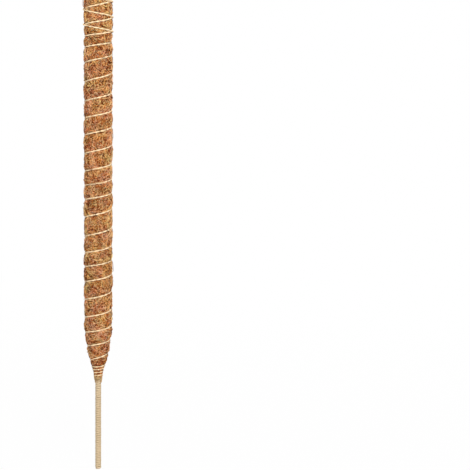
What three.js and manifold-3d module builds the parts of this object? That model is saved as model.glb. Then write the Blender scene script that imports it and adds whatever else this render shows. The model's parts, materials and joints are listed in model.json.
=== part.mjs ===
// Bendable coir plant pole. A soft wire wrapped in cord runs through it: bare at the foot, where it is
// the stake, and above that inside a sleeve of coir fibre. One length of twine binds the sleeve.
// Millimetres, +Z up along the pole, origin at the centre of the stake's lower end.

import * as THREE from "three";
import { mergeVertices } from "three/addons/utils/BufferGeometryUtils.js";
import Module from "manifold-3d";

const wasm = await Module();
wasm.setup();

// Stake and core
const stakeLength = 85; // bare stake, from its lower end to the tail of the coir
const wireDiameter = 2.6;
const wireTopCover = 12; // coir above the upper end of the wire
const wrapThickness = 1.1; // cord round the wire
const wrapTurns = 24; // turns of that cord on the bare stake
const wrapTurnGap = 0.6; // between neighbouring turns
const wrapTipInset = 0.4; // wire that shows below the lowest turn

// Coir sleeve
const coirDiameter = 25; // over the bulges between the turns of twine
const coirLength = 369;
const taperLength = 45; // tail that narrows to the stake
const taperFullness = 0.45; // 0 is a straight cone
const tailWall = 0.9; // coir round the core at the very tail
const tailWallUnderTwine = 0.45;
const bulge = 0.45; // swelling of the coir between two turns
const topEdgeRadius = 3.5;

// Binding twine
const twineDiameter = 1.6;
const biteDepth = 2.2; // groove that the twine pulls into the coir
const biteWidth = 4.8;
const biteShareOfPitch = 0.8; // the widest that a groove may be where the turns lie close
const lashStart = 1.7; // lowest turn, above the tail of the coir
const lashTurns = 3;
const lashPitch = 2.75;
const bindingPitch = 14.4;
const bindingWander = [ // uneven hand winding: half waves over the climb, and their size
  { halfWaves: 2, size: -2.6 },
  { halfWaves: 5, size: -1.9 },
  { halfWaves: 6, size: 1.5 },
  { halfWaves: 7, size: -1.5 },
  { halfWaves: 9, size: -0.9 },
  { halfWaves: 11, size: 1.1 },
];
const turnRoundBelowTop = 12.5; // where the climb ends and the twine starts to turn back
const returnTurns = 4; // turns back down over the first layer
const returnPitch = 12.9;
const returnGap = 0.5; // between the two layers of twine
const twineLeadIn = 0.25; // turns of twine before the front of the lowest one

// Bends
const sectionNames = ["foot", "lower", "middle", "upper", "top"];
const firstBendAboveTaper = 39;
const topBendBelowReturn = 11.65; // under the lower end of the twine's way back
const partingAngle = 60; // degrees: half the opening of the ball-shaped parting at each bend
const partingGap = 0.4;

// Fits and facets
const fitGap = 0.3; // between pieces that touch
const stepsPerTurn = 16;
const twineSides = 5;
const wrapSteps = 10;
const wireSides = 12;
const roundSides = 24;
const partingSteps = 6;
const edgeSteps = 4;
const spare = 5; // how far a cutting solid runs past what it cuts

const wireRadius = wireDiameter / 2;
const wrapInnerRadius = wireRadius + fitGap;
const wrapRadius = wrapInnerRadius + wrapThickness;
const boreRadius = wrapRadius + fitGap;
const tailRadius = boreRadius + tailWall;
const coirRadius = coirDiameter / 2;
const coirTop = stakeLength + coirLength;
const wireTop = coirTop - wireTopCover;
const twineRadius = twineDiameter / 2;
const partingRadius = coirRadius / Math.sin(THREE.MathUtils.degToRad(partingAngle));

const materials = {
  wire: new THREE.MeshStandardMaterial({ color: 0x8b8d8f, roughness: 0.45, metalness: 1 }),
  wrap: new THREE.MeshStandardMaterial({ color: 0xcdb084, roughness: 0.9, metalness: 0 }),
  coir: new THREE.MeshStandardMaterial({ color: 0xa56a3c, roughness: 0.95, metalness: 0 }),
  twine: new THREE.MeshStandardMaterial({ color: 0xe3c394, roughness: 0.9, metalness: 0 }),
};

// Solids in and out of the boolean library
function solidOf(geometry) {
  const bare = geometry.clone();
  bare.deleteAttribute("normal");
  bare.deleteAttribute("uv");
  const merged = mergeVertices(bare, 1e-5);
  const kept = [];
  const index = merged.index.array;
  for (let i = 0; i < index.length; i += 3) {
    const [a, b, c] = index.slice(i, i + 3);
    if (a !== b && b !== c && c !== a) kept.push(a, b, c);
  }
  const mesh = new wasm.Mesh({
    numProp: 3,
    vertProperties: new Float32Array(merged.attributes.position.array),
    triVerts: new Uint32Array(kept),
  });
  return new wasm.Manifold(mesh);
}

function geometryOf(solid) {
  const mesh = solid.getMesh();
  const geometry = new THREE.BufferGeometry();
  geometry.setAttribute("position", new THREE.BufferAttribute(mesh.vertProperties, mesh.numProp));
  geometry.setIndex(new THREE.BufferAttribute(mesh.triVerts, 1));
  geometry.computeVertexNormals();
  return geometry;
}

function surfaceOf(vertices, triangles) {
  const places = vertices.flatMap((vertex) => vertex.toArray());
  const geometry = new THREE.BufferGeometry();
  geometry.setAttribute("position", new THREE.Float32BufferAttribute(places, 3));
  geometry.setIndex(triangles);
  return geometry;
}

// A solid turned about the pole's axis from an outline of [radius, height] points
function turned(outline, sides = roundSides) {
  const geometry = new THREE.LatheGeometry(outline.map(([r, z]) => new THREE.Vector2(r, z)), sides);
  geometry.rotateX(Math.PI / 2);
  return solidOf(geometry);
}

function rod(radius, from, to, sides) {
  return turned([[0, from], [radius, from], [radius, to], [0, to]], sides);
}

// Route of the twine, by the number of turns from the front of the lowest one
const lashBottom = stakeLength + lashStart;
const climbTurn = lashTurns + 1; // the pitch opens over the turn after the lashing
const climbBottom = lashBottom + lashPitch * climbTurn + (bindingPitch - lashPitch) / 2;
const climbTurns = (coirTop - turnRoundBelowTop - climbBottom) / bindingPitch;
const turnRound = climbTurn + climbTurns;
const twineEnd = turnRound + 1 + returnTurns;

// Centres of the bends, evenly spaced from the lowest to the highest
const firstBend = stakeLength + taperLength + firstBendAboveTaper;
const topBend = twineHeight(twineEnd) - topBendBelowReturn;
const bendSpacing = (topBend - firstBend) / (sectionNames.length - 2);

function wander(turn) {
  const share = THREE.MathUtils.clamp((turn - climbTurn) / climbTurns, 0, 1);
  const waves = bindingWander.map(({ halfWaves, size }) => size * Math.sin(Math.PI * halfWaves * share));
  return waves.reduce((sum, wave) => sum + wave, 0);
}

function climbHeight(turn) {
  const past = Math.max(turn - lashTurns, 0);
  const opened = past < 1 ? (past * past) / 2 : past - 0.5;
  return lashBottom + lashPitch * turn + (bindingPitch - lashPitch) * opened + wander(turn);
}

function twineHeight(turn) {
  const past = turn - turnRound;
  if (past <= 0) return climbHeight(turn);
  const turning = Math.min(past, 1); // the climb eases into the way down over one turn
  const crest = bindingPitch * turning - ((bindingPitch + returnPitch) * turning * turning) / 2;
  return climbHeight(turnRound) + crest - returnPitch * (past - turning);
}

// Sleeve and groove: the coir swells between the turns and is drawn in under each
function sleeveRadius(z) {
  const share = THREE.MathUtils.clamp((z - stakeLength) / taperLength, 0, 1);
  const swell = share * (1 + taperFullness - taperFullness * share);
  return THREE.MathUtils.lerp(tailRadius, coirRadius, swell);
}

function grooveDepth(z) {
  return Math.min(biteDepth, sleeveRadius(z) - boreRadius - tailWallUnderTwine);
}

function grooveHalfWidth(turn) {
  const pitch = climbHeight(turn + 0.5) - climbHeight(turn - 0.5);
  return Math.min(biteWidth, biteShareOfPitch * pitch) / 2;
}

// The twine's centre line lies in the groove, and climbs over the first layer on its way back
function twineCentre(turn) {
  const z = twineHeight(turn);
  const halfWidth = grooveHalfWidth(Math.min(turn, turnRound));
  const wallRise = grooveDepth(z) - bulge;
  const seat = ((twineRadius + fitGap) * Math.hypot(halfWidth, wallRise)) / halfWidth;
  const layer = THREE.MathUtils.smoothstep(turn, turnRound, turnRound + 1);
  const radius = sleeveRadius(z) - grooveDepth(z) + seat + layer * (twineDiameter + returnGap);
  return onPole(radius, turn, z);
}

// A point on the pole: whole turns face the front, -Y
function onPole(radius, turn, z) {
  const angle = 2 * Math.PI * turn - Math.PI / 2;
  return new THREE.Vector3(radius * Math.cos(angle), radius * Math.sin(angle), z);
}

// A closed tube along a winding, from a section of [outward, upward] points
function woundTube(centres, section) {
  const sides = section.length;
  const vertices = [];
  centres.forEach((centre, i) => {
    const ahead = centres[Math.min(i + 1, centres.length - 1)];
    const behind = centres[Math.max(i - 1, 0)];
    const outward = new THREE.Vector3(centre.x, centre.y, 0).normalize();
    const along = new THREE.Vector3().subVectors(ahead, behind);
    const up = new THREE.Vector3().crossVectors(outward, along).normalize();
    for (const [out, rise] of section) {
      vertices.push(centre.clone().addScaledVector(outward, out).addScaledVector(up, rise));
    }
  });
  const triangles = [];
  for (let i = 0; i + 1 < centres.length; i++) {
    for (let j = 0; j < sides; j++) {
      const a = i * sides + j;
      const b = i * sides + ((j + 1) % sides);
      triangles.push(a, a + sides, b, b, a + sides, b + sides);
    }
  }
  const last = (centres.length - 1) * sides;
  for (let j = 1; j + 1 < sides; j++) {
    triangles.push(0, j, j + 1, last, last + j + 1, last + j);
  }
  return surfaceOf(vertices, triangles);
}

function leastTurnGap(centres, stepsInTurn, thickness) {
  let least = Infinity;
  centres.forEach((centre, i) => {
    for (let j = i + stepsInTurn / 2; j < centres.length; j++) {
      least = Math.min(least, centre.distanceTo(centres[j]) - thickness);
    }
  });
  return least;
}

function roundSection(radius, sides) {
  return Array.from({ length: sides }, (_, i) => {
    const angle = (2 * Math.PI * i) / sides;
    return [radius * Math.cos(angle), radius * Math.sin(angle)];
  });
}

// Binding twine, whole
function twineRoute(from, to) {
  const centres = [];
  for (let i = Math.ceil(from * stepsPerTurn); i <= to * stepsPerTurn; i++) {
    centres.push(twineCentre(i / stepsPerTurn));
  }
  return centres;
}

function wholeTwine() {
  const centres = twineRoute(-twineLeadIn, twineEnd);
  const gap = leastTurnGap(centres, stepsPerTurn, twineDiameter);
  console.log(`Binding twine: least gap between turns ${gap.toFixed(2)} mm`);
  return solidOf(woundTube(centres, roundSection(twineRadius, twineSides)));
}

// Where the twine turns round it leaves the groove and presses its own bed into the coir
function turnRoundBed() {
  const centres = twineRoute(turnRound, turnRound + 1);
  return solidOf(woundTube(centres, roundSection(twineRadius + fitGap, twineSides)));
}

// Cord on the bare stake: a flat-lying cord, wound from just above the wire's end up to the coir
function stakeWrap() {
  const pitch = (stakeLength - fitGap - wrapTipInset + wrapTurnGap) / (wrapTurns + 1);
  const width = pitch - wrapTurnGap;
  const bottom = wrapTipInset + width / 2;
  const centres = [];
  for (let i = 0; i <= wrapTurns * wrapSteps; i++) {
    const turn = i / wrapSteps;
    centres.push(onPole((wrapInnerRadius + wrapRadius) / 2, turn, bottom + pitch * turn));
  }
  const gap = leastTurnGap(centres, wrapSteps, width);
  console.log(`Stake wrap: least gap between turns ${gap.toFixed(2)} mm`);
  const flatSection = [
    [wrapThickness / 2, -width / 4],
    [wrapThickness / 2, width / 4],
    [0, width / 2],
    [-wrapThickness / 2, width / 4],
    [-wrapThickness / 2, -width / 4],
    [0, -width / 2],
  ];
  return woundTube(centres, flatSection);
}

// Coir sleeve, whole: a strip that follows the twine round, with its rows at the bottom of the groove,
// at the shoulder above it, on the crown and at the shoulder below the next turn
function woundSleeve() {
  const first = -Math.ceil((lashStart + spare) / lashPitch + 1) * stepsPerTurn;
  const last = Math.ceil(turnRound + (turnRoundBelowTop + spare) / bindingPitch + 1) * stepsPerTurn;
  const vertices = [];
  for (let i = first; i <= last; i++) {
    const turn = i / stepsPerTurn;
    const low = climbHeight(turn);
    const high = climbHeight(turn + 1);
    const shoulders = [low + grooveHalfWidth(turn), high - grooveHalfWidth(turn + 1)];
    const crown = (low + high) / 2;
    vertices.push(
      onPole(sleeveRadius(low) - grooveDepth(low), turn, low),
      onPole(sleeveRadius(shoulders[0]) - bulge, turn, shoulders[0]),
      onPole(sleeveRadius(crown), turn, crown),
      onPole(sleeveRadius(shoulders[1]) - bulge, turn, shoulders[1]),
    );
  }
  const rows = 4;
  const columns = last - first;
  const at = (column, row) => (row < rows ? column * rows + row : (column + stepsPerTurn) * rows);
  const triangles = [];
  for (let column = 0; column < columns; column++) {
    const rowsHere = column + stepsPerTurn < columns ? rows : rows - 1;
    for (let row = 0; row < rowsHere; row++) {
      const [a, b] = [at(column, row), at(column + 1, row)];
      const [c, d] = [at(column + 1, row + 1), at(column, row + 1)];
      triangles.push(a, b, c, a, c, d);
    }
  }
  const bottomRim = [];
  for (let column = 0; column <= stepsPerTurn; column++) bottomRim.push(at(column, 0));
  for (let row = rows - 1; row > 0; row--) bottomRim.push(at(0, row));
  const topRim = [];
  for (let row = 0; row < rows; row++) topRim.push(at(columns, row));
  for (let back = 1; back <= stepsPerTurn; back++) topRim.push(at(columns - back, rows - 1));
  const lowest = vertices.push(new THREE.Vector3(0, 0, vertices[0].z)) - 1;
  const highest = vertices.push(new THREE.Vector3(0, 0, vertices[at(columns, rows - 1)].z)) - 1;
  bottomRim.forEach((v, i) => triangles.push(lowest, bottomRim[(i + 1) % bottomRim.length], v));
  topRim.forEach((v, i) => triangles.push(highest, topRim[(i + 1) % topRim.length], v));
  return solidOf(surfaceOf(vertices, triangles));
}

function wholeCoir() {
  const outside = coirRadius + fitGap;
  const outline = [[0, stakeLength], [outside, stakeLength]];
  for (let i = 0; i <= edgeSteps; i++) {
    const angle = (Math.PI / 2) * (i / edgeSteps);
    const inset = topEdgeRadius * (1 - Math.cos(angle));
    outline.push([outside - inset, coirTop - topEdgeRadius * (1 - Math.sin(angle))]);
  }
  outline.push([0, coirTop]);
  const bore = rod(boreRadius, stakeLength - spare, wireTop + fitGap, roundSides);
  const sleeve = woundSleeve().intersect(turned(outline));
  return sleeve.subtract(bore).subtract(turnRoundBed());
}

// Core, whole
function wholeWire() {
  return rod(wireRadius, 0, wireTop, wireSides);
}

function wholeCoreWrap() {
  const sleeve = rod(wrapRadius, stakeLength, wireTop, roundSides);
  return sleeve.subtract(rod(wrapInnerRadius, stakeLength - spare, wireTop + spare, roundSides));
}

// Everything below a bend: up to the ball round the bend's centre, and level with that centre outside it
function below(bend, ballRadius, sides) {
  const centre = firstBend + bendSpacing * (bend - 1);
  const reach = ballRadius + spare;
  const outline = [[0, -spare], [reach, -spare], [reach, centre]];
  for (let i = 0; i <= partingSteps; i++) {
    const angle = (Math.PI / 2) * (i / partingSteps);
    const radius = i < partingSteps ? ballRadius * Math.cos(angle) : 0;
    outline.push([radius, centre + ballRadius * Math.sin(angle)]);
  }
  return turned(outline, sides);
}

// The stretch of a whole piece that belongs to one section of the pole
function stretch(whole, section, sides) {
  let piece = whole;
  if (section < sectionNames.length - 1) piece = piece.intersect(below(section + 1, partingRadius, sides));
  if (section > 0) piece = piece.subtract(below(section, partingRadius + partingGap, sides));
  return geometryOf(piece);
}

const pole = new THREE.Group();

function addPiece(name, geometry, material) {
  const mesh = new THREE.Mesh(geometry, material);
  mesh.name = name;
  pole.add(mesh);
}

addPiece("stake_wrap", stakeWrap(), materials.wrap);

// The ball that parts the twine has its sides in step with the twine's facets, so it cuts each end once
const wholes = [
  { name: "core_wire", solid: wholeWire(), material: materials.wire, ballSides: roundSides },
  { name: "core_wrap", solid: wholeCoreWrap(), material: materials.wrap, ballSides: roundSides },
  { name: "coir", solid: wholeCoir(), material: materials.coir, ballSides: roundSides },
  { name: "binding_twine", solid: wholeTwine(), material: materials.twine, ballSides: stepsPerTurn },
];
for (const { name, solid, material, ballSides } of wholes) {
  sectionNames.forEach((section, i) => {
    addPiece(`${name}_${section}`, stretch(solid, i, ballSides), material);
  });
}

export default pole;
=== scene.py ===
import json
import math
import bpy
import numpy as np
from mathutils import Matrix, Vector


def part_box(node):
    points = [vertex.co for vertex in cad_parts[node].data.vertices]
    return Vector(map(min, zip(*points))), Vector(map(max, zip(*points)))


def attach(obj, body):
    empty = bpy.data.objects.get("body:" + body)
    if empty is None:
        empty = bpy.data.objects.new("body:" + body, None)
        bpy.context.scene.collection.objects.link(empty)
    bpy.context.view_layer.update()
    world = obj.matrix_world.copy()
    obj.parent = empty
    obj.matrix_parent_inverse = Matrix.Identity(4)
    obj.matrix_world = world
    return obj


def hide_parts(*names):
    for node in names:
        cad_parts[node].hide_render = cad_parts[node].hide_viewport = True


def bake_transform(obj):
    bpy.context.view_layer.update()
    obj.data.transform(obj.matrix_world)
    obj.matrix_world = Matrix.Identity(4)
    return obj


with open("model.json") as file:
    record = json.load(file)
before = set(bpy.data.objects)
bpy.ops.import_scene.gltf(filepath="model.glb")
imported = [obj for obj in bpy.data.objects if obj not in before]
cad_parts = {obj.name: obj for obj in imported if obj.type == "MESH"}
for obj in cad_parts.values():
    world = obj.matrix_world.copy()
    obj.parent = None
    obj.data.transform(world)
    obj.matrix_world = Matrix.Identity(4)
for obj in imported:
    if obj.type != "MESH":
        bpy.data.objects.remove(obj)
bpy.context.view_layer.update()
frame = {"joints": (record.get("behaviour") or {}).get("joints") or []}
mm = 0.001


# Node building, shared by the Geometry Nodes trees and the materials
class Socket:
    def __init__(self, graph, socket):
        self.graph = graph
        self.socket = socket

    def out(self, name):
        found = [s for s in self.socket.node.outputs if s.enabled and s.name == name]
        return Socket(self.graph, found[0])

    def math(self, operation, *others):
        return self.graph.node("ShaderNodeMath", {"operation": operation}, [self, *others])

    def clamp(self, low, high):
        return self.math("MAXIMUM", low).math("MINIMUM", high)

    def __add__(self, other):
        return self.math("ADD", other)

    def __sub__(self, other):
        return self.math("SUBTRACT", other)

    def __mul__(self, other):
        return self.math("MULTIPLY", other)

    def __truediv__(self, other):
        return self.math("DIVIDE", other)

    def __pow__(self, other):
        return self.math("POWER", other)

    def __rsub__(self, other):
        return self.graph.node("ShaderNodeMath", {"operation": "SUBTRACT"}, [other, self])

    def __rtruediv__(self, other):
        return self.graph.node("ShaderNodeMath", {"operation": "DIVIDE"}, [other, self])

    __radd__ = __add__
    __rmul__ = __mul__


class Graph:
    def __init__(self, tree):
        self.tree = tree

    def node(self, kind, settings=None, values=()):
        made = self.tree.nodes.new(kind)
        for name, value in (settings or {}).items():
            setattr(made, name, value)
        sockets = [s for s in made.inputs if s.enabled]
        named = values.items() if isinstance(values, dict) else enumerate(values)
        for key, value in named:
            target = sockets[key] if isinstance(key, int) else next(s for s in sockets if s.name == key)
            for one in value if isinstance(value, list) else [value]:
                if isinstance(one, Socket):
                    self.tree.links.new(one.socket, target)
                else:
                    target.default_value = one
        outputs = [s for s in made.outputs if s.enabled]
        return Socket(self, outputs[0]) if outputs else made

    def vector(self, operation, *values):
        return self.node("ShaderNodeVectorMath", {"operation": operation}, values)

    def combine(self, x, y, z):
        return self.node("ShaderNodeCombineXYZ", {}, [x, y, z])

    def mix(self, factor, first, second):
        return self.node("ShaderNodeMix", {"data_type": "RGBA"}, {"Factor": factor, "A": first, "B": second})

    def noise(self, vector, scale, detail=2.0, roughness=0.5):
        return self.node("ShaderNodeTexNoise", {}, {
            "Vector": vector, "Scale": scale, "Detail": detail, "Roughness": roughness})

    def ramp(self, factor, stops):
        made = self.node("ShaderNodeValToRGB", {}, [factor])
        elements = made.socket.node.color_ramp.elements
        for stop in stops[2:]:
            elements.new(stop[0])
        for element, (place, colour) in zip(elements, sorted(stops)):
            element.position = place
            element.color = (*colour, 1)
        return made

    # Values that a mesh carries: read by a material, read by a tree, stored by a tree
    def painted(self, name):
        return self.node("ShaderNodeAttribute", {"attribute_name": name}).out("Fac")

    def carried(self, name, kind="FLOAT"):
        return self.node("GeometryNodeInputNamedAttribute", {"data_type": kind}, [name])

    def store(self, geometry, name, value, domain="POINT"):
        return self.node("GeometryNodeStoreNamedAttribute", {"data_type": "FLOAT", "domain": domain}, {
            "Geometry": geometry, "Name": name, "Value": value})

    def chance(self, low, high, seed):
        return self.node("FunctionNodeRandomValue", {"data_type": "FLOAT"}, {
            "Min": low, "Max": high, "Seed": seed})

    def turned(self, rotation, x, y, z):
        turn = self.node("FunctionNodeEulerToRotation", {}, [self.combine(x, y, z)])
        return self.node("FunctionNodeRotateRotation", {"rotation_space": "LOCAL"}, [rotation, turn])


def nodeTree(name, inputs):
    tree = bpy.data.node_groups.new(name, "GeometryNodeTree")
    tree.interface.new_socket("Geometry", in_out="INPUT", socket_type="NodeSocketGeometry")
    for label, kind in inputs.items():
        tree.interface.new_socket(label, in_out="INPUT", socket_type="NodeSocket" + kind)
    tree.interface.new_socket("Geometry", in_out="OUTPUT", socket_type="NodeSocketGeometry")
    graph = Graph(tree)
    return graph, graph.node("NodeGroupInput")


def closeTree(graph, geometry, given):
    whole = graph.node("GeometryNodeRealizeInstances", {}, [geometry])
    smooth = graph.node("GeometryNodeSetShadeSmooth", {}, [whole])
    dressed = graph.node("GeometryNodeSetMaterial", {}, {
        "Geometry": smooth, "Material": given.out("Material")})
    graph.node("NodeGroupOutput", {}, [dressed])


def grown(name, source, graph, settings):
    modifier = source.modifiers.new("grow", "NODES")
    modifier.node_group = graph.tree
    for item in graph.tree.interface.items_tree:
        if item.in_out == "INPUT" and item.name in settings:
            modifier[item.identifier] = settings[item.name]
    evaluated = source.evaluated_get(bpy.context.evaluated_depsgraph_get())
    mesh = bpy.data.meshes.new_from_object(evaluated)
    source.modifiers.remove(modifier)
    for label in ("thick", "lift", "shift", "size", "outward"):    # only the trees need these
        if label in mesh.attributes:
            mesh.attributes.remove(mesh.attributes[label])
    return newObject(name, mesh)


def newObject(name, data):
    made = bpy.data.objects.new(name, data)
    bpy.context.scene.collection.objects.link(made)
    return made


def newMesh(name, points, faces, edges=()):
    mesh = bpy.data.meshes.new(name)
    mesh.from_pydata([tuple(p) for p in points], edges, faces)
    return mesh


def giveValues(mesh, name, values, kind="FLOAT"):
    layer = mesh.attributes.new(name, kind, "POINT")
    field = "vector" if kind == "FLOAT_VECTOR" else "value"
    layer.data.foreach_set(field, np.asarray(values, dtype=np.float32).ravel())


# The pole's form, from the frame's own boxes and the winding of the part, whose wander is in half waves
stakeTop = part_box("coir_foot")[0].z
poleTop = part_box("coir_top")[1].z
bends = [joint["pos_m"][2] for joint in frame["joints"]]
bodyNames = ["foot", "lower", "middle", "upper", "top"]
sleeve = {"radius": 12.5 * mm, "tail": 3.9 * mm, "bore": 3.0 * mm, "taper": 45 * mm, "fullness": 0.45,
          "edge": 3.5 * mm, "wireTop": poleTop - 12 * mm}
winding = {"leadIn": 0.25, "start": 1.7 * mm, "lashTurns": 3, "lashPitch": 2.75 * mm, "pitch": 14.4 * mm,
           "wander": [(2, -2.6 * mm), (5, -1.9 * mm), (6, 1.5 * mm), (7, -1.5 * mm), (9, -0.9 * mm),
                      (11, 1.1 * mm)],
           "belowTop": 12.5 * mm, "returnTurns": 4, "returnPitch": 12.9 * mm, "bite": 2.2 * mm}
pitchGain = winding["pitch"] - winding["lashPitch"]
climbTurn = winding["lashTurns"] + 1
lashBottom = stakeTop + winding["start"]
climbBottom = lashBottom + winding["lashPitch"] * climbTurn + pitchGain / 2
climbTurns = (poleTop - winding["belowTop"] - climbBottom) / winding["pitch"]
turnRound = climbTurn + climbTurns
twineEnd = turnRound + 1 + winding["returnTurns"]
farAway = 9.0    # metres, where no pass of the twine is near


def climbHeight(turn):
    share = np.clip((turn - climbTurn) / climbTurns, 0, 1)
    past = np.maximum(turn - winding["lashTurns"], 0)
    opened = np.where(past < 1, past ** 2 / 2, past - 0.5)
    wander = sum(size * np.sin(math.pi * waves * share) for waves, size in winding["wander"])
    return lashBottom + winding["lashPitch"] * turn + pitchGain * opened + wander


def twineHeight(turn):
    past = turn - turnRound
    turning = np.clip(past, 0, 1)
    down = winding["pitch"] * turning - (winding["pitch"] + winding["returnPitch"]) * turning ** 2 / 2
    back = climbHeight(np.full_like(turn, turnRound)) + down - winding["returnPitch"] * (past - turning)
    return np.where(past <= 0, climbHeight(turn), back)


def smoothstep(values):
    t = np.clip(values, 0, 1)
    return t * t * (3 - 2 * t)


def sleeveRadius(z):
    share = np.clip((z - stakeTop) / sleeve["taper"], 0, 1)
    swell = share * (1 + sleeve["fullness"] * (1 - share))
    full = sleeve["tail"] + (sleeve["radius"] - sleeve["tail"]) * swell
    over = np.clip(z - (poleTop - sleeve["edge"]), 0, sleeve["edge"])
    return full - sleeve["edge"] + np.sqrt(sleeve["edge"] ** 2 - over ** 2)


def nearestTurn(angle, z, first, last, height):
    # Distance up or down the pole to the closest pass of the twine at this angle
    phase = np.mod((angle + math.pi / 2) / (2 * math.pi), 1)
    passes = np.arange(math.floor(first), math.ceil(last) + 1)
    turn = passes[:, None] + phase[None, :]
    level = np.where((turn >= first) & (turn <= last), height(turn), farAway)
    return np.abs(z[:, None, None] - level[None, :, :]).min(axis=1)


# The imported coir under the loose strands. A lump has its waves round the pole, their rise and their size
bed = {"columns": 96, "rowStep": 0.7 * mm, "boreStep": 4 * mm, "sharpAngle": 60,
       "inset": 0.75 * mm, "insetShare": 0.35, "leastWall": 0.25 * mm, "underTwine": 0.3 * mm,
       "lashGroove": 1.1 * mm, "groove": 1.8 * mm, "returnBite": 1.3 * mm, "returnGroove": 2.0 * mm,
       "cushion": 0.45 * mm, "cushionReach": 5.5 * mm, "cushionFrom": 0.8 * sleeve["radius"],
       "hold": 1.8 * mm, "returnHold": 1.6 * mm,
       "lumps": [(2, 61 * mm, 0.16 * mm), (3, 37 * mm, 0.13 * mm), (5, 23 * mm, 0.1 * mm)],
       "lumpsOver": 4 * mm, "growFrom": 4 * mm, "growOver": 14 * mm, "growLeast": 0.3,
       "edgeRows": 5, "edgeFrom": 0.25, "topBand": 1.5 * mm, "crown": 0.25 * mm,
       "topRings": (0.85, 0.65, 0.42, 0.2, 0.04)}


def bedRadius(angle, z):
    whole = sleeveRadius(z)[:, None] + 0 * angle[None, :]
    inset = np.minimum(bed["inset"], bed["insetShare"] * (whole - sleeve["bore"]))
    floor = np.maximum(sleeve["bore"] + bed["leastWall"], whole - winding["bite"] - bed["underTwine"])
    spread = np.where(z < climbBottom, bed["lashGroove"], bed["groove"])[:, None]
    forward = nearestTurn(angle, z, -winding["leadIn"], turnRound, climbHeight)
    backward = nearestTurn(angle, z, turnRound, twineEnd, twineHeight)
    drawn = bed["cushion"] * (1 - smoothstep(forward / bed["cushionReach"])) * (whole > bed["cushionFrom"])
    pull = np.maximum((whole - inset - floor) * (1 - smoothstep(forward / spread)), drawn)
    pullBack = bed["returnBite"] * (1 - smoothstep(backward / bed["returnGroove"]))
    hold = np.maximum(1 - smoothstep(forward / bed["hold"]), 1 - smoothstep(backward / bed["returnHold"]))
    lumps = sum(size * np.sin(waves * angle[None, :] + 2 * math.pi * z[:, None] / rise + waves)
                for waves, rise, size in bed["lumps"])
    lumps = lumps * np.clip((whole - sleeve["tail"]) / bed["lumpsOver"], 0, 1)
    return whole - inset - np.maximum(pull, pullBack) + lumps, hold


def bedMesh(name, low, high, hollow):
    # Outside, ends and, where it is hollow, the bore of one stretch
    columns = bed["columns"]
    angle = np.linspace(0, 2 * math.pi, columns, endpoint=False)
    closed = high == poleTop
    rowTop = poleTop - sleeve["edge"] if closed else high
    z = np.linspace(low, rowTop, max(2, round((rowTop - low) / bed["rowStep"]) + 1))
    if closed:
        rounding = np.sin(np.linspace(bed["edgeFrom"], 1, bed["edgeRows"]) * math.pi / 2)
        z = np.append(z, rowTop + (sleeve["edge"] - bed["inset"]) * rounding)
    radius, hold = bedRadius(angle, z)
    grow = np.clip((z - stakeTop - bed["growFrom"]) / bed["growOver"], bed["growLeast"], 1)
    atTop = (z > poleTop - bed["topBand"]).astype(float)
    rings = list(zip(radius, z, grow, atTop, hold))
    if closed:
        rings += [(radius[-1] * share, z[-1] + bed["crown"] * (1 - share), 0, 1, hold[-1] * 0)
                  for share in bed["topRings"]]
    boreTop = sleeve["wireTop"] if closed else high
    bore = np.linspace(boreTop, low, max(2, round((boreTop - low) / bed["boreStep"]) + 1))
    points, growth, growTop, holds, faces = [], [], [], [], []

    def addRing(values, height, side, top, held):
        points.extend(np.stack([values * np.cos(angle), values * np.sin(angle), 0 * angle + height], 1))
        growth.extend([side] * columns)
        growTop.extend([top] * columns)
        holds.extend(held)

    def joinRings(first, second):
        here, there = first * columns, second * columns
        for i in range(columns):
            j = (i + 1) % columns
            faces.append((here + i, here + j, there + j, there + i))

    for ring in rings:
        addRing(*ring)
    for i in range(len(rings) - 1):
        joinRings(i, i + 1)
    count = len(rings)
    if hollow:
        if closed:
            faces.append(tuple((count - 1) * columns + i for i in range(columns)))
        for level in bore:
            addRing(np.full(columns, sleeve["bore"]), level, 0, 0, np.zeros(columns))
        if closed:
            faces.append(tuple(count * columns + i for i in reversed(range(columns))))
        else:
            joinRings(count - 1, count)
        for i in range(len(bore) - 1):
            joinRings(count + i, count + i + 1)
        joinRings(count + len(bore) - 1, 0)
    mesh = newMesh(name, points, faces)
    giveValues(mesh, "grow", growth)
    giveValues(mesh, "growTop", growTop)
    giveValues(mesh, "hold", holds)
    mesh.shade_smooth()
    mesh.set_sharp_from_angle(angle=math.radians(bed["sharpAngle"]))
    return mesh


# Materials
def newMaterial(name):
    made = bpy.data.materials.new(name)
    made.use_nodes = True
    made.node_tree.nodes.clear()
    return made, Graph(made.node_tree)


def finishMaterial(graph, values, relief=None, depth=0.0):
    if relief is not None:
        bump = graph.node("ShaderNodeBump", {}, {"Strength": 1.0, "Distance": depth, "Height": relief})
        values = {**values, "Normal": bump}
    surface = graph.node("ShaderNodeBsdfPrincipled", {}, values)
    graph.node("ShaderNodeOutputMaterial", {}, {"Surface": surface})


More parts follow.
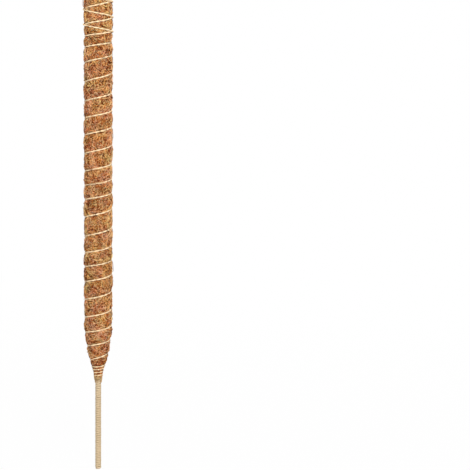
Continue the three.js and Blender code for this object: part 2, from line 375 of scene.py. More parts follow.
# Noise settings are scale, detail and, where it isn't 0.5, roughness. A ridge has its scale, shift and share
coirShade = {"tones": [(0.0, (0.1, 0.018, 0.004)), (0.26, (0.37, 0.087, 0.018)), (0.5, (0.74, 0.236, 0.058)),
                       (0.76, (0.95, 0.445, 0.155)), (1.0, (0.99, 0.66, 0.34))],
             "redTint": (1.0, 0.9, 1.08), "strawTint": (0.99, 1.11, 0.86),
             "drift": (90, 1), "driftShare": 2.1, "hueShare": 0.4, "lean": 0.52}
fibreShade = {"flecks": (1500, 2), "fleckShare": 1.9, "roughness": 0.72, "roughSpread": 0.25,
              "relief": (2600, 2), "bump": 0.12 * mm, "specular": 0.16}
bedShade = {"ridges": [(520, 0.0, 1.0), (640, 0.31, 0.8), (780, 0.73, 0.65)], "ridgeDetail": 1,
            "steepness": 14, "ridgeShare": 0.4, "flecks": (1300, 2), "fleckShare": 1.2, "base": 0.14,
            "roughness": 0.9, "bump": 0.6 * mm, "specular": 0.15}


def tinted(tones, tint):
    return [(at, tuple(part * share for part, share in zip(tone, tint))) for at, tone in tones]


def coirColour(graph, place, value, hue):
    # Red-brown to straw: each strand leans one way, and so does each finger's breadth of the pole
    drift = (graph.noise(place, *coirShade["drift"]) - 0.5) * coirShade["driftShare"]
    lean = (drift + hue * coirShade["hueShare"] + coirShade["lean"]).clamp(0, 1)
    red = graph.ramp(value, tinted(coirShade["tones"], coirShade["redTint"]))
    straw = graph.ramp(value, tinted(coirShade["tones"], coirShade["strawTint"]))
    return graph.mix(lean, red, straw)


def coirFibreMaterial():
    made, graph = newMaterial("coirFibre")
    place = graph.node("ShaderNodeTexCoord").out("Object")
    tone, shade, hue = [graph.painted(name) for name in ("tone", "shade", "hue")]
    flecks = graph.noise(place, *fibreShade["flecks"])
    value = tone + shade + (flecks - 0.5) * fibreShade["fleckShare"]
    colour = coirColour(graph, place, value, hue)
    roughness = fibreShade["roughness"] + flecks * fibreShade["roughSpread"]
    relief = graph.noise(place, *fibreShade["relief"])
    finishMaterial(graph, {"Base Color": colour, "Roughness": roughness,
                           "Specular IOR Level": fibreShade["specular"]}, relief, fibreShade["bump"])
    return made


def coirBedMaterial():
    made, graph = newMaterial("coirBed")
    place = graph.node("ShaderNodeTexCoord").out("Object")
    lines = []
    for scale, shift, share in bedShade["ridges"]:
        moved = graph.vector("ADD", place, (shift, shift * 2, shift * 3))
        middle = (graph.noise(moved, scale, bedShade["ridgeDetail"]) - 0.5).math("ABSOLUTE")
        lines.append((1 - middle * bedShade["steepness"]).math("MAXIMUM", 0) * share)
    strands = lines[0].math("MAXIMUM", lines[1]).math("MAXIMUM", lines[2])
    flecks = graph.noise(place, *bedShade["flecks"])
    # The bed is coir, but its tone sits far below the loose strands': partly its own colour, partly painted
    # shade for the gaps between them
    value = strands * bedShade["ridgeShare"] + (flecks - 0.5) * bedShade["fleckShare"] + bedShade["base"]
    colour = coirColour(graph, place, value, 0.0)
    finishMaterial(graph, {"Base Color": colour, "Roughness": bedShade["roughness"],
                           "Specular IOR Level": bedShade["specular"]}, strands, bedShade["bump"])
    return made


cordShade = {"streakRound": 2.2, "streakAlong": 150, "streaks": (2.4, 4, 0.62), "dust": (900, 3, 0.6),
             "dustShare": 0.35, "sidePower": 4.0, "uneven": (75, 1), "unevenShare": 3.4, "unevenBase": 0.6,
             "base": 0.62, "stops": (0.05, 0.5, 0.95), "streakRelief": 0.6, "hollowRelief": 0.5,
             "dustRelief": 0.3, "bump": 0.22 * mm, "roughness": 0.72, "roughSpread": 0.2, "specular": 0.3}
# The cords' colours also carry painted shade: the hollows between plies and, on the stake wrap, the grooves
# between turns are darkened
twineShade = {"dark": (0.66, 0.41, 0.19), "middle": (0.97, 0.73, 0.44), "pale": (0.99, 0.83, 0.57),
              "plies": 2.0, "lay": 5.2 * mm, "depth": 0.2, "crease": 0.0, "grain": 0.75}
wrapShade = {"dark": (0.34, 0.235, 0.12), "middle": (0.655, 0.495, 0.305), "pale": (0.79, 0.67, 0.47),
             "plies": 2.0, "lay": 5.0 * mm, "depth": 0.14, "crease": 0.75, "grain": 1.5}


def cordMaterial(name, dark, middle, pale, plies, lay, depth, crease, grain):
    made, graph = newMaterial(name)
    place = graph.node("ShaderNodeTexCoord").out("Object")
    along, rimX, rimY = [graph.painted(label) for label in ("along", "rimX", "rimY")]
    angle = rimY.math("ARCTAN2", rimX) * plies - along * (2 * math.pi / lay)
    # Darker in the hollows between the plies: painted shade in the recess
    hollow = 0.5 - 0.5 * angle.math("COSINE")
    around = [angle.math(wave) * cordShade["streakRound"] for wave in ("COSINE", "SINE")]
    streaks = graph.noise(graph.combine(*around, along * cordShade["streakAlong"]), *cordShade["streaks"])
    dust = graph.noise(place, *cordShade["dust"])
    # Darker at the cord's two sides, where one turn meets the next: painted shade in the groove between
    # turns, patchy along the cord
    uneven = (graph.noise(place, *cordShade["uneven"]) - 0.5) * cordShade["unevenShare"]
    uneven = (uneven + cordShade["unevenBase"]).math("MAXIMUM", 0)
    side = rimY.math("ABSOLUTE") ** cordShade["sidePower"]
    value = cordShade["base"] - hollow * depth - side * uneven * crease
    value = value + (streaks - 0.5) * grain + (dust - 0.5) * cordShade["dustShare"]
    colour = graph.ramp(value, list(zip(cordShade["stops"], (dark, middle, pale))))
    relief = streaks * cordShade["streakRelief"] - hollow * cordShade["hollowRelief"]
    relief = relief + dust * cordShade["dustRelief"]
    roughness = cordShade["roughness"] + dust * cordShade["roughSpread"]
    finishMaterial(graph, {"Base Color": colour, "Roughness": roughness,
                           "Specular IOR Level": cordShade["specular"]}, relief, cordShade["bump"])
    return made


hairShade = {"dust": (600, 2), "roughness": 0.75, "roughSpread": 0.15, "specular": 0.3}


def hairMaterial(name, dark, pale):
    made, graph = newMaterial(name)
    place = graph.node("ShaderNodeTexCoord").out("Object")
    dust = graph.noise(place, *hairShade["dust"])
    roughness = hairShade["roughness"] + dust * hairShade["roughSpread"]
    finishMaterial(graph, {"Base Color": graph.mix(dust, dark, pale), "Roughness": roughness,
                           "Specular IOR Level": hairShade["specular"]})
    return made


wireShade = {"stretch": (1, 1, 0.05), "drawn": (2600, 3), "spots": (700, 4, 0.65), "rustFrom": 0.56,
             "rustEdge": 9, "dark": (0.2, 0.205, 0.21, 1), "pale": (0.34, 0.345, 0.35, 1),
             "rust": (0.2, 0.075, 0.03, 1), "roughness": 0.34, "drawnRough": 0.14, "rustRough": 0.4,
             "rustDull": 0.9, "bump": 0.03 * mm}


def wireMaterial():
    made, graph = newMaterial("coreWire")
    place = graph.node("ShaderNodeTexCoord").out("Object")
    drawn = graph.noise(graph.vector("MULTIPLY", place, wireShade["stretch"]), *wireShade["drawn"])
    spots = graph.noise(place, *wireShade["spots"])
    rust = ((spots - wireShade["rustFrom"]) * wireShade["rustEdge"]).clamp(0, 1)
    bare = graph.mix(drawn, wireShade["dark"], wireShade["pale"])
    colour = graph.mix(rust, bare, wireShade["rust"])
    roughness = wireShade["roughness"] + drawn * wireShade["drawnRough"] + rust * wireShade["rustRough"]
    finishMaterial(graph, {"Base Color": colour, "Roughness": roughness,
                           "Metallic": 1 - rust * wireShade["rustDull"]}, drawn, wireShade["bump"])
    return made


fibreMaterial = coirFibreMaterial()
bedMaterial = coirBedMaterial()
twineMaterial = cordMaterial("bindingTwine", **twineShade)
wrapMaterial = cordMaterial("stakeWrap", **wrapShade)
strandMaterial = hairMaterial("twineHair", (0.55, 0.37, 0.2, 1), (0.9, 0.72, 0.47, 1))
tailMaterial = hairMaterial("coirTail", (0.3, 0.145, 0.045, 1), (0.86, 0.59, 0.28, 1))
steelMaterial = wireMaterial()
print("materials made")

# Geometry Nodes: a strand of coir laid over the bed, many times
strandForm = {"density": 3, "liftPower": 1.6, "strayPower": 14.0, "tailPower": 1.5, "mostShift": 60.0,
              "leastReach": 0.01 * mm, "rimDraw": 7.3, "rimSpread": 0.4, "sideRay": 0.04, "topRay": 0.6,
              "rayLength": 0.3, "held": 0.88, "slim": 3.5 * mm, "slimOver": 5 * mm, "leastLoose": 0.12,
              "overDraw": 5.7, "bridge": 2.4 * mm, "seat": 0.6, "endLift": 0.2, "endGirth": 0.45,
              "frayStep": 90, "frayScale": 240.0}


def fibreTree(name, bundle):
    sizes = ["Spacing", "Shortest", "Longest", "Thinnest", "Thickest", "Curl", "Curl Scale", "Lift", "Stray",
             "Flat", "Rim", "Lowest", "Highest", "Paleness", "Contrast", "Over", "Fray", "Tail Reach",
             "Tail Shade"]
    graph, given = nodeTree(name, {
        "Guide": "Object", "Spread": "String", **dict.fromkeys(sizes, "Float"), "Points": "Int",
        "Seed": "Int", "Material": "Material"})
    seed = given.out("Seed")
    position = graph.node("GeometryNodeInputPosition")
    factor = graph.node("GeometryNodeSplineParameter")
    bow = factor * (1 - factor) * 4
    shift, thick = graph.carried("shift"), graph.carried("thick")

    def chance(low, high, step):
        return graph.chance(low, high, seed + step)

    def stirred(layer, scale, reach):
        stir = graph.node("ShaderNodeTexNoise", {"noise_dimensions": "4D"}, {
            "Vector": position, "W": layer, "Scale": scale, "Detail": 0.0}).out("Color")
        return graph.vector("SCALE", graph.vector("SUBTRACT", stir, (0.5, 0.5, 0.5)), reach * 2)

    # Each strand is a flat arch at a point of the bed, with its own length, turn, tone and lift
    points = graph.node("GeometryNodeDistributePointsOnFaces", {"distribute_method": "POISSON"}, {
        "Mesh": given.out("Geometry"), "Distance Min": given.out("Spacing"),
        "Density Max": strandForm["density"] / given.out("Spacing") ** 2.0,
        "Density Factor": graph.carried(given.out("Spread")), "Seed": seed})
    arch = graph.node("GeometryNodeCurveQuadraticBezier", {}, {
        "Resolution": given.out("Points"), "Start": (-0.5, -0.25, 0), "Middle": (0, 0.75, 0),
        "End": (0.5, -0.25, 0)})
    length = chance(given.out("Shortest"), given.out("Longest"), 2)
    strands = graph.node("GeometryNodeInstanceOnPoints", {}, {
        "Points": points, "Instance": arch,
        "Rotation": graph.turned(points.out("Rotation"), 0.0, 0.0, chance(0.0, 2 * math.pi, 1)),
        "Scale": graph.combine(length, length * chance(-1.0, 1.0, 8), length)})
    height = graph.node("ShaderNodeSeparateXYZ", {}, [position]).out("Z")
    # Strands near the tail are darker in tone: painted shade on the taper, which faces down, away from the
    # light
    nearTail = (1 - (height - given.out("Lowest")) / given.out("Tail Reach")).math("MAXIMUM", 0)
    tone = chance(-0.5, 0.5, 3) * given.out("Contrast") + 0.5 + given.out("Paleness")
    tone = tone - nearTail ** strandForm["tailPower"] * given.out("Tail Shade")
    lift = chance(0.0, 1.0, 5) ** strandForm["liftPower"] * given.out("Lift")
    lift = lift + chance(0.0, 1.0, 6) ** strandForm["strayPower"] * given.out("Stray")
    values = {"tone": tone, "thick": chance(given.out("Thinnest"), given.out("Thickest"), 4), "lift": lift,
              "shift": chance(0.0, strandForm["mostShift"], 7), "hue": chance(-1.0, 1.0, 9)}
    for label, value in values.items():
        strands = graph.store(strands, label, value, "INSTANCE")
    curves = graph.node("GeometryNodeRealizeInstances", {}, [strands])

    # Its points are curled, then cast back on the bed along the pole's radius, or downward on the top
    swirl = stirred(shift, given.out("Curl Scale"), given.out("Curl"))
    curled = graph.node("ShaderNodeSeparateXYZ", {}, [graph.vector("ADD", position, swirl)])
    x, y, z = curled, curled.out("Y"), curled.out("Z")
    z = z.math("MINIMUM", given.out("Highest")).math("MAXIMUM", given.out("Lowest"))
    flat = given.out("Flat")
    side = 1 - flat
    reach = (x * x + y * y).math("SQRT").math("MAXIMUM", strandForm["leastReach"])
    rimShare = 1 - (shift * strandForm["rimDraw"]).math("FRACT") ** 2.0 * strandForm["rimSpread"]
    inside = side + flat * (given.out("Rim") * rimShare / reach).math("MINIMUM", 1)
    x, y = x * inside, y * inside
    outX, outY = x / reach * side, y / reach * side
    outward = graph.combine(outX, outY, flat)
    above = graph.combine(outX * strandForm["sideRay"] + x * flat, outY * strandForm["sideRay"] + y * flat,
                          z * side + flat * strandForm["topRay"])
    guide = graph.node("GeometryNodeObjectInfo", {}, [given.out("Guide")]).out("Geometry")
    cast = graph.node("GeometryNodeRaycast", {"data_type": "FLOAT"}, {
        "Target Geometry": guide, "Attribute": graph.carried("hold"), "Source Position": above,
        "Ray Direction": graph.vector("SCALE", outward, -1.0), "Ray Length": strandForm["rayLength"]})
    hit, hold = cast.out("Hit Position"), cast.out("Attribute")

    # It lies low under the twine and on the slim tail, and a few strands bridge the twine
    free = 1 - hold * strandForm["held"]
    girth = graph.vector("LENGTH", graph.vector("MULTIPLY", hit, (1, 1, 0))).out("Value")
    loose = (girth - strandForm["slim"]) / strandForm["slimOver"] * side + flat
    loose = loose.clamp(strandForm["leastLoose"], 1)
    over = (shift * strandForm["overDraw"]).math("FRACT").math("LESS_THAN", given.out("Over"))
    bridge = over * hold * loose * strandForm["bridge"]
    arched = bow * (1 - strandForm["endLift"]) + strandForm["endLift"]
    raised = thick * strandForm["seat"] + graph.carried("lift") * arched * free * loose + bridge
    laid = graph.vector("ADD", hit, graph.vector("SCALE", outward, raised))
    curves = graph.node("GeometryNodeSetPosition", {}, {
        "Geometry": curves, "Selection": cast.out("Is Hit"), "Position": laid})
    curves = graph.node("GeometryNodeSetCurveNormal", {"mode": "FREE"}, {"Curve": curves, "Normal": outward})
    ring = graph.node("GeometryNodeCurvePrimitiveCircle", {}, {"Resolution": 3, "Radius": 1.0})
    rings = []
    for offset, shade in bundle:
        moved = graph.node("GeometryNodeTransform", {}, {"Geometry": ring, "Translation": offset})
        rings.append(graph.store(moved, "shade", shade))
    tapered = bow ** 0.5 * (1 - strandForm["endGirth"]) + strandForm["endGirth"]
    swept = graph.node("GeometryNodeCurveToMesh", {}, {
        "Curve": curves, "Profile Curve": graph.node("GeometryNodeJoinGeometry", {}, [rings]),
        "Scale": thick * tapered, "Fill Caps": True})
    fray = stirred(graph.carried("shade") * strandForm["frayStep"] + shift, strandForm["frayScale"],
                   given.out("Fray"))
    swept = graph.node("GeometryNodeSetPosition", {}, {"Geometry": swept, "Offset": fray})
    closeTree(graph, swept, given)
    return graph


# Geometry Nodes: a laid cord swept along a wound path
def cordTree():
    sizes = ["Half Depth", "Half Width", "Roundness", "Plies", "Lay", "Relief"]
    graph, given = nodeTree("laidCord", {
        **dict.fromkeys(sizes, "Float"), "Sides": "Int", "Material": "Material"})
    path = graph.node("GeometryNodeMeshToCurve", {}, [given.out("Geometry")])
    outward = graph.carried("outward", "FLOAT_VECTOR")
    path = graph.node("GeometryNodeSetCurveNormal", {"mode": "FREE"}, {"Curve": path, "Normal": outward})
    path = graph.store(path, "along", graph.node("GeometryNodeSplineParameter").out("Length"))
    ring = graph.node("GeometryNodeCurvePrimitiveCircle", {}, {
        "Resolution": given.out("Sides"), "Radius": 1.0})
    across = graph.node("ShaderNodeSeparateXYZ", {}, [graph.node("GeometryNodeInputPosition")])
    for label, value in (("rimX", across), ("rimY", across.out("Y"))):
        ring = graph.store(ring, label, value)
    shape = [side.math("SIGN") * side.math("ABSOLUTE") ** given.out("Roundness") * given.out(half)
             for side, half in ((across, "Half Depth"), (across.out("Y"), "Half Width"))]
    ring = graph.node("GeometryNodeSetPosition", {}, {
        "Geometry": ring, "Position": graph.combine(*shape, 0.0)})
    swept = graph.node("GeometryNodeCurveToMesh", {}, {
        "Curve": path, "Profile Curve": ring, "Scale": graph.carried("size"), "Fill Caps": True})
    rimX, rimY, along = [graph.carried(label) for label in ("rimX", "rimY", "along")]
    lead = rimY.math("ARCTAN2", rimX) * given.out("Plies") - along / given.out("Lay") * (2 * math.pi)
    sunk = (lead.math("COSINE") - 1) * given.out("Relief") * 0.5
    swept = graph.node("GeometryNodeSetPosition", {}, {
        "Geometry": swept, "Offset": graph.vector("SCALE", graph.node("GeometryNodeInputNormal"), sunk)})
    closeTree(graph, swept, given)
    return graph


# Geometry Nodes: short hairs standing off a cord
def hairTree():
    sizes = ["Density", "Shortest", "Longest", "Thickness", "Lean", "Taper"]
    graph, given = nodeTree("cordHairs", {
        **dict.fromkeys(sizes, "Float"), "Seed": "Int", "Material": "Material"})
    seed = given.out("Seed")
    points = graph.node("GeometryNodeDistributePointsOnFaces", {}, {
        "Mesh": given.out("Geometry"), "Density": given.out("Density"), "Seed": seed})
    turned = graph.turned(points.out("Rotation"), 0.0, 0.0, graph.chance(0.0, 2 * math.pi, seed + 1))
    turned = graph.turned(turned, given.out("Lean"), 0.0, 0.0)
    hair = graph.node("GeometryNodeCurveQuadraticBezier", {}, {
        "Resolution": 4, "Start": (0, 0, -0.1), "Middle": (0, 0, 0.6), "End": (0.0, -0.5, 0.9)})
    length = graph.chance(given.out("Shortest"), given.out("Longest"), seed + 2)
    hairs = graph.node("GeometryNodeInstanceOnPoints", {}, {
        "Points": points, "Instance": hair, "Rotation": turned,
        "Scale": graph.combine(length, length, length)})
    curves = graph.node("GeometryNodeRealizeInstances", {}, [hairs])
    ring = graph.node("GeometryNodeCurvePrimitiveCircle", {}, {"Resolution": 3, "Radius": 1.0})
    girth = given.out("Thickness") * (1 - graph.node("GeometryNodeSplineParameter") * given.out("Taper"))
    swept = graph.node("GeometryNodeCurveToMesh", {}, {
        "Curve": curves, "Profile Curve": ring, "Scale": girth, "Fill Caps": True})
    closeTree(graph, swept, given)
    return graph


# A bundle lists its strands: the offset in strand radii, out from the bed and across, and the shade
bundles = {"coirStrand": [((0, 0, 0), 0.0)],
           "coirBundle": [((0.2, -2.7, 0), -0.08), ((0.8, -0.9, 0), 0.05), ((0.0, 1.0, 0), 0.1),
                          ((0.6, 2.8, 0), -0.04)],
           "coirTwist": [((0.0, -1.8, 0), -0.03), ((0.6, 0, 0), 0.05), ((0.0, 1.9, 0), 0.0)]}
strandGraph, bundleGraph, twistGraph = [fibreTree(name, bundle) for name, bundle in bundles.items()]
cordGraph, hairGraph = cordTree(), hairTree()
print("node trees made")

# Four stretches, each spanning one joint
cuts = [stakeTop] + [(low + high) / 2 for low, high in zip(bends, bends[1:])] + [poleTop]
topmost = len(bends) - 1


def settle(piece, index, kind):
    low, high = bodyNames[index], bodyNames[index + 1]
    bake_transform(piece)
    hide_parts(kind + "_" + low, kind + "_" + high)


# The strands of every stretch are cast on one whole bed, so they cross the cuts without a step
guide = newObject("guide", bedMesh("guide", stakeTop, poleTop, False))
seedStep = 7
# Strands are darkened towards the tail as painted shade on the taper
common = {"Guide": guide, "Spread": "grow", "Flat": 0.0, "Rim": 11.4 * mm, "Lowest": stakeTop + 0.4 * mm,
          "Highest": poleTop - 1.2 * mm, "Tail Reach": 58 * mm, "Tail Shade": 0.32, "Material": fibreMaterial}
fine = {"Spacing": 2.4 * mm, "Shortest": 8 * mm, "Longest": 22 * mm, "Thinnest": 0.1 * mm,
        "Thickest": 0.2 * mm, "Curl": 4.6 * mm, "Curl Scale": 125.0, "Lift": 0.9 * mm, "Stray": 1.1 * mm,
        "Points": 14, "Paleness": 0.1, "Contrast": 2.2, "Over": 0.1, "Fray": 0.0, "Seed": 11}
frayed = {"Spacing": 3.7 * mm, "Shortest": 6 * mm, "Longest": 14 * mm, "Thinnest": 0.11 * mm,
          "Thickest": 0.19 * mm, "Curl": 4.2 * mm, "Curl Scale": 140.0, "Lift": 0.7 * mm, "Stray": 0.5 * mm,
          "Points": 10, "Paleness": 0.06, "Contrast": 0.8, "Over": 0.0, "Fray": 0.8 * mm, "Seed": 53}
twisted = {"Spacing": 3.1 * mm, "Shortest": 3.5 * mm, "Longest": 8 * mm, "Thinnest": 0.1 * mm,
           "Thickest": 0.16 * mm, "Curl": 3.2 * mm, "Curl Scale": 170.0, "Lift": 1.3 * mm, "Stray": 0.4 * mm,
           "Points": 9, "Paleness": 0.22, "Contrast": 0.8, "Over": 0.0, "Fray": 0.45 * mm, "Seed": 71}
grain = {"Spacing": 1.0 * mm, "Shortest": 2.4 * mm, "Longest": 5.0 * mm, "Thinnest": 0.11 * mm,
         "Thickest": 0.2 * mm, "Curl": 1.8 * mm, "Curl Scale": 280.0, "Lift": 1.2 * mm, "Stray": 0.0,
         "Points": 5, "Paleness": 0.17, "Contrast": 2.4, "Over": 0.0, "Fray": 0.0, "Seed": 29}
topDisc = {"Spread": "growTop", "Flat": 1.0, "Spacing": 1.2 * mm, "Shortest": 7 * mm, "Longest": 18 * mm,
           "Thinnest": 0.13 * mm, "Thickest": 0.28 * mm, "Curl": 4.0 * mm, "Curl Scale": 140.0,
           "Lift": 0.7 * mm, "Stray": 0.5 * mm, "Points": 11, "Paleness": 0.0, "Contrast": 1.25, "Over": 0.0,
           "Fray": 0.0, "Highest": poleTop, "Seed": 97}

for index in range(len(bends)):
    tag = str(index + 1)
    under = newObject("coir_bed_" + tag, bedMesh("coir_bed_" + tag, cuts[index], cuts[index + 1], True))
    under.data.materials.append(bedMaterial)
    layers = [("coir_fibre_", strandGraph, fine), ("coir_bundle_", bundleGraph, frayed),
              ("coir_twist_", twistGraph, twisted), ("coir_grain_", strandGraph, grain)]
    if index == topmost:
        layers.append(("coir_top_", strandGraph, topDisc))
    for stem, graph, layer in layers:
        settings = {**common, **layer, "Seed": layer["Seed"] + seedStep * index}
        piece = grown(stem + tag, under, graph, settings)
        print(piece.name, len(piece.data.polygons), "faces")
        settle(piece, index, "coir")
    settle(under, index, "coir")
bpy.data.objects.remove(guide)
print("coir laid")

# Binding twine, one cord in four lengths
twineCord = {"Half Depth": 0.74 * mm, "Half Width": 0.74 * mm, "Roundness": 1.0, "Sides": 12,
             "Plies": twineShade["plies"], "Lay": twineShade["lay"], "Relief": 0.32 * mm,
             "Material": twineMaterial}
twineHairs = {"Density": 260000.0, "Shortest": 0.7 * mm, "Longest": 2.4 * mm, "Thickness": 0.035 * mm,
              "Taper": 0.7, "Lean": 1.0, "Material": strandMaterial, "Seed": 5}
twineRun = {"steps": 140, "forward": 11.58 * mm, "back": 11.95 * mm, "boreClear": 0.75 * mm, "easeTurns": 0.6,
            "over": 0.95 * mm, "overReach": 2.4 * mm, "overFrom": 0.2, "tuckTurns": 0.12,
            "tuckDepth": 1.3 * mm, "lashSize": 0.75, "growTurn": 1, "growTurns": 3.5}


def pathObject(name, turn, z, radius, size):
    angle = 2 * math.pi * turn - math.pi / 2
    points = np.stack([radius * np.cos(angle), radius * np.sin(angle), z], 1)
    mesh = newMesh(name, points, [], [(i, i + 1) for i in range(len(points) - 1)])
    giveValues(mesh, "outward", np.stack([np.cos(angle), np.sin(angle), 0 * angle], 1), "FLOAT_VECTOR")
    giveValues(mesh, "size", size)
    return newObject(name, mesh)


def twinePath():
    turn = np.arange(-winding["leadIn"], twineEnd, 1 / twineRun["steps"])
    z = twineHeight(turn)
    seat = sleeve["radius"] - twineRun["forward"]
    radius = sleeveRadius(np.minimum(z, poleTop - sleeve["edge"])) - seat
    onTaper = z < stakeTop + sleeve["taper"]
    radius = np.where(onTaper, np.maximum(radius, sleeve["bore"] + twineRun["boreClear"]), radius)

    # The way back rides over the turns that it crosses
    angle = 2 * math.pi * turn - math.pi / 2
    back = turn > turnRound
    gap = np.full(len(turn), farAway)
    crossed = turnRound - twineRun["overFrom"]
    for i in np.flatnonzero(back):
        here = slice(i, i + 1)
        gap[i] = nearestTurn(angle[here], z[here], -winding["leadIn"], crossed, climbHeight)[0, 0]
    over = twineRun["over"] * (1 - smoothstep(gap / twineRun["overReach"]))
    ease = smoothstep((turn - turnRound) / twineRun["easeTurns"])
    radius = np.where(back, radius + ease * (twineRun["back"] - twineRun["forward"] + over), radius)

    # Both ends are tucked into the coir, and the cord is pulled thin in the lashing
    tuck = smoothstep((turn + winding["leadIn"]) / twineRun["tuckTurns"])
    tuck = tuck * smoothstep((twineEnd - turn) / twineRun["tuckTurns"])
    growth = smoothstep((turn - twineRun["growTurn"]) / twineRun["growTurns"])
    size = twineRun["lashSize"] + (1 - twineRun["lashSize"]) * growth
    return turn, z, radius - (1 - tuck) * twineRun["tuckDepth"], size


turn, z, radius, size = twinePath()
for index in range(len(bends)):
    tag = str(index + 1)
    lowest = -math.inf if index == 0 else cuts[index]
    highest = math.inf if index == topmost else cuts[index + 1]
    steps = np.flatnonzero((z >= lowest) & (z <= highest))
    part = slice(max(steps[0] - 1, 0), steps[-1] + 2)
    route = pathObject("route" + tag, turn[part], z[part], radius[part], size[part])
    cord = grown("twine_" + tag, route, cordGraph, twineCord)
    hairs = grown("twine_hair_" + tag, cord, hairGraph, {**twineHairs, "Seed": twineHairs["Seed"] + index})
    bpy.data.objects.remove(route)
    print(cord.name, len(cord.data.polygons), "faces, hairs", len(hairs.data.polygons))
    for piece in (cord, hairs):
        settle(piece, index, "binding_twine")
print("twine wound")

# Core wire and its hidden wrap, as plain rods and ridged tubes with blunt ends
core = {"wire": 1.3 * mm, "tipCover": 1.3 * mm, "wrapFrom": 0.9 * mm, "wrapInner": 1.6 * mm,
        "wrapOuter": 2.7 * mm, "ridge": 0.12 * mm, "columns": 24, "rowStep": 2 * mm, "sharpAngle": 50,
        "cordFace": (1.0, 0.0), "cordSide": (0.2, 0.98)}


def tubeMesh(name, low, high, inner, outer, ridge=0.0):
    columns = core["columns"]
    angle = np.linspace(0, 2 * math.pi, columns, endpoint=False)
    z = np.linspace(low, high, max(2, round((high - low) / core["rowStep"]) + 1))
    sides = [(outer - ridge * (i % 2), level) for i, level in enumerate(z)]
    if inner > 0:
        sides += [(inner, level) for level in z[::-1]]
    points = [(r * math.cos(a), r * math.sin(a), level) for r, level in sides for a in angle]
    rings = len(sides)
    pairs = [(i, i + 1) for i in range(rings - 1)] + ([(rings - 1, 0)] if inner > 0 else [])
    steps = [(i, (i + 1) % columns) for i in range(columns)]
    faces = [(a * columns + i, a * columns + j, b * columns + j, b * columns + i)
             for a, b in pairs for i, j in steps]
    if inner == 0:
        faces.append(tuple((rings - 1) * columns + i for i in range(columns)))
        faces.append(tuple(reversed(range(columns))))
    mesh = newMesh(name, points, faces)
    giveValues(mesh, "along", [p[2] for p in points])
    # Ridges look like a cord's face, and the hollows between them like its side, which the wrap material
    # darkens as painted shade
    rims = np.array([core["cordSide"] if ring % 2 else core["cordFace"] for ring in range(rings)])
    giveValues(mesh, "rimX", rims[:, 0].repeat(columns))
    giveValues(mesh, "rimY", rims[:, 1].repeat(columns))
    mesh.shade_smooth()
    mesh.set_sharp_from_angle(angle=math.radians(core["sharpAngle"]))
    return mesh


for index in range(len(bends)):
    tag = str(index + 1)
    wireLow = core["tipCover"] if index == 0 else cuts[index]
    wrapLow = stakeTop + core["wrapFrom"] if index == 0 else cuts[index]
    high = sleeve["wireTop"] if index == topmost else cuts[index + 1]
    rod = newObject("core_wire_" + tag, tubeMesh("core_wire_" + tag, wireLow, high, 0, core["wire"]))
    rod.data.materials.append(steelMaterial)
    settle(rod, index, "core_wire")
    tube = newObject("core_wrap_" + tag, tubeMesh("core_wrap_" + tag, wrapLow, high, core["wrapInner"],
                                                 core["wrapOuter"], core["ridge"]))
    tube.data.materials.append(wrapMaterial)
    settle(tube, index, "core_wrap")
print("core made")

# Stake wrap, a flat cord wound close round the wire's foot
stakeCord = {"Half Depth": 0.52 * mm, "Half Width": 1.02 * mm, "Roundness": 0.62, "Sides": 16,
             "Plies": wrapShade["plies"], "Lay": wrapShade["lay"], "Relief": 0.11 * mm,
             "Material": wrapMaterial}
stakeHairs = {"Density": 190000.0, "Shortest": 0.5 * mm, "Longest": 1.7 * mm, "Thickness": 0.032 * mm,
              "Taper": 0.7, "Lean": 1.15, "Material": strandMaterial, "Seed": 31}
stakeRun = {"steps": 28, "pitch": 2.06 * mm, "radius": 2.19 * mm, "bottom": 1.1 * mm, "topGap": 0.3 * mm,
            "wobble": 0.05 * mm, "wobbleRate": 2.3, "tipTurns": 1.1, "tipHeight": 0.64 * mm,
            "tipRadius": 0.45 * mm, "tipSize": 0.6}
turns = (stakeTop - stakeRun["topGap"] - stakeRun["bottom"]) / stakeRun["pitch"]
turn = np.arange(-stakeRun["tipTurns"], turns, 1 / stakeRun["steps"])
closing = 1 - smoothstep(1 + turn / stakeRun["tipTurns"])    # the cord's end is turned in under the wire
z = stakeRun["bottom"] + stakeRun["pitch"] * np.maximum(turn, 0)
z = z + (stakeRun["tipHeight"] - stakeRun["bottom"]) * closing
radius = stakeRun["radius"] + stakeRun["wobble"] * np.sin(turn * stakeRun["wobbleRate"]) * (turn > 0)
radius = radius + (stakeRun["tipRadius"] - stakeRun["radius"]) * closing
route = pathObject("stakeRoute", turn, z, radius, 1 - (1 - stakeRun["tipSize"]) * closing)
cord = grown("stake_wrap_cord", route, cordGraph, stakeCord)
hairs = grown("stake_wrap_hair", cord, hairGraph, stakeHairs)
bpy.data.objects.remove(route)
print(cord.name, len(cord.data.polygons), "faces, hairs", len(hairs.data.polygons))
for piece in (cord, hairs):
    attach(piece, "foot")
    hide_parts("stake_wrap")
print("stake wrapped")

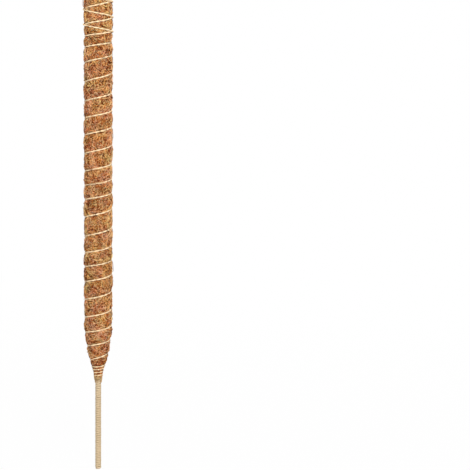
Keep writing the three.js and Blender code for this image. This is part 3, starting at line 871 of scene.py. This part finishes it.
# The coir's frayed tail, lying down over the top of the stake wrap
tailCord = {"Half Depth": 0.17 * mm, "Half Width": 0.17 * mm, "Roundness": 1.0, "Sides": 4, "Plies": 1.0,
            "Lay": 1.0, "Relief": 0.0, "Material": tailMaterial}
tail = {"seed": 4, "strands": 150, "steps": 9, "start": 4.5 * mm, "end": (-6.2 * mm, -1.4 * mm),
        "over": 2.9 * mm, "loose": 0.3 * mm, "flare": 0.6 * mm, "flareFrom": -5.5 * mm, "flareOver": 6 * mm,
        "sway": 0.045, "slant": 0.05, "size": (0.7, 1.3), "taper": (1.1, 0.35)}
random = np.random.default_rng(tail["seed"])
points, edges, outwards, girths = [], [], [], []
for strand in range(tail["strands"]):
    sway = np.cumsum(random.normal(0, tail["sway"], tail["steps"]) + random.normal(0, tail["slant"]))
    angle = random.uniform(0, 2 * math.pi) + sway
    level = np.linspace(tail["start"], random.uniform(*tail["end"]), tail["steps"])
    flare = tail["flare"] * smoothstep((level - tail["flareFrom"]) / tail["flareOver"])
    spread = tail["over"] + random.uniform(0, tail["loose"]) + flare
    base = strand * tail["steps"]
    points += list(np.stack([spread * np.cos(angle), spread * np.sin(angle), stakeTop + level], 1))
    edges += [(base + i, base + i + 1) for i in range(tail["steps"] - 1)]
    outwards += list(np.stack([np.cos(angle), np.sin(angle), 0 * angle], 1))
    girths += list(random.uniform(*tail["size"]) * np.linspace(*tail["taper"], tail["steps"]))
mesh = newMesh("fringeRoute", points, [], edges)
giveValues(mesh, "outward", outwards, "FLOAT_VECTOR")
giveValues(mesh, "size", girths)
route = newObject("fringeRoute", mesh)
piece = grown("coir_tail", route, cordGraph, tailCord)
bpy.data.objects.remove(route)
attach(piece, "foot")
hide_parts("coir_foot")
print("tail frayed")

# Floor, backdrop, lights and camera
white = (1, 1, 1, 1)
studio = {"floor": (0.6, 0.6, 0.6, 1), "floorReach": 6, "fadeFrom": 0.1, "fadeTo": 1.2, "fadeLeast": 0.98,
          "ambient": 0.43}
lamps = {"key": {"place": (0.32, -1.75, 1.6), "aim": (0, 0, 0.22), "size": 0.5, "power": 45.0},
         "back": {"place": (0.2, 1.6, 1.3), "aim": (0, 0, 0.25), "size": 0.8, "power": 14.0},
         "left": {"place": (-1.3, 1.2, 0.9), "aim": (0, 0, 0.25), "size": 0.7, "power": 1.5},
         "right": {"place": (1.3, 1.2, 0.9), "aim": (0, 0, 0.25), "size": 0.7, "power": 2.5}}

floorMaterial, graph = newMaterial("floor")
path = graph.node("ShaderNodeLightPath")
matte = graph.node("ShaderNodeBsdfDiffuse", {}, {"Color": studio["floor"]})
glow = graph.node("ShaderNodeEmission", {}, {"Color": white, "Strength": 1.0})
spot = graph.vector("LENGTH", graph.node("ShaderNodeTexCoord").out("Object")).out("Value")
fade = graph.node("ShaderNodeMapRange", {"interpolation_type": "SMOOTHSTEP"}, {
    "Value": spot, "From Min": studio["fadeFrom"], "From Max": studio["fadeTo"],
    "To Min": studio["fadeLeast"], "To Max": 1.0})
both = graph.node("ShaderNodeMixShader", {}, [path.out("Is Camera Ray") * fade, matte, glow])
graph.node("ShaderNodeOutputMaterial", {}, {"Surface": both})
edge = studio["floorReach"]
corners = [(-edge, -edge, 0), (edge, -edge, 0), (edge, edge, 0), (-edge, edge, 0)]
floor = newObject("floor", newMesh("floor", corners, [(0, 1, 2, 3)]))
floor.data.materials.append(floorMaterial)

world = bpy.data.worlds.new("studio")
bpy.context.scene.world = world
world.use_nodes = True
world.node_tree.nodes.clear()
graph = Graph(world.node_tree)
path = graph.node("ShaderNodeLightPath")
seen = path.out("Is Camera Ray").math("MAXIMUM", path.out("Is Glossy Ray"))
strength = seen * (1 - studio["ambient"]) + studio["ambient"]
sky = graph.node("ShaderNodeBackground", {}, {"Color": white, "Strength": strength})
graph.node("ShaderNodeOutputWorld", {}, {"Surface": sky})

for name, lamp in lamps.items():
    light = bpy.data.lights.new(name, "AREA")
    light.shape = "SQUARE"
    light.size = lamp["size"]
    light.energy = lamp["power"]
    made = newObject(name, light)
    made.location = lamp["place"]
    facing = np.array(lamp["aim"]) - np.array(lamp["place"])
    made.rotation_euler = Vector(facing).to_track_quat("-Z", "Y").to_euler()

# The camera stands near the height of the top, looks down a little and keeps the pole upright at the left
view = {"place": (0, -1.5, 0.396), "tilt": 6.942, "swing": 4.632, "lens": 129.31, "sensor": 36}
camera = newObject("camera", bpy.data.cameras.new("camera"))
camera.data.lens = view["lens"]
camera.data.sensor_width = view["sensor"]
camera.location = view["place"]
tilted = Matrix.Rotation(math.radians(90 - view["tilt"]), 3, "X")
camera.rotation_euler = (tilted @ Matrix.Rotation(math.radians(-view["swing"]), 3, "Y")).to_euler()
bpy.context.scene.camera = camera
bpy.context.scene.view_settings.view_transform = "Standard"

print("scene ready")
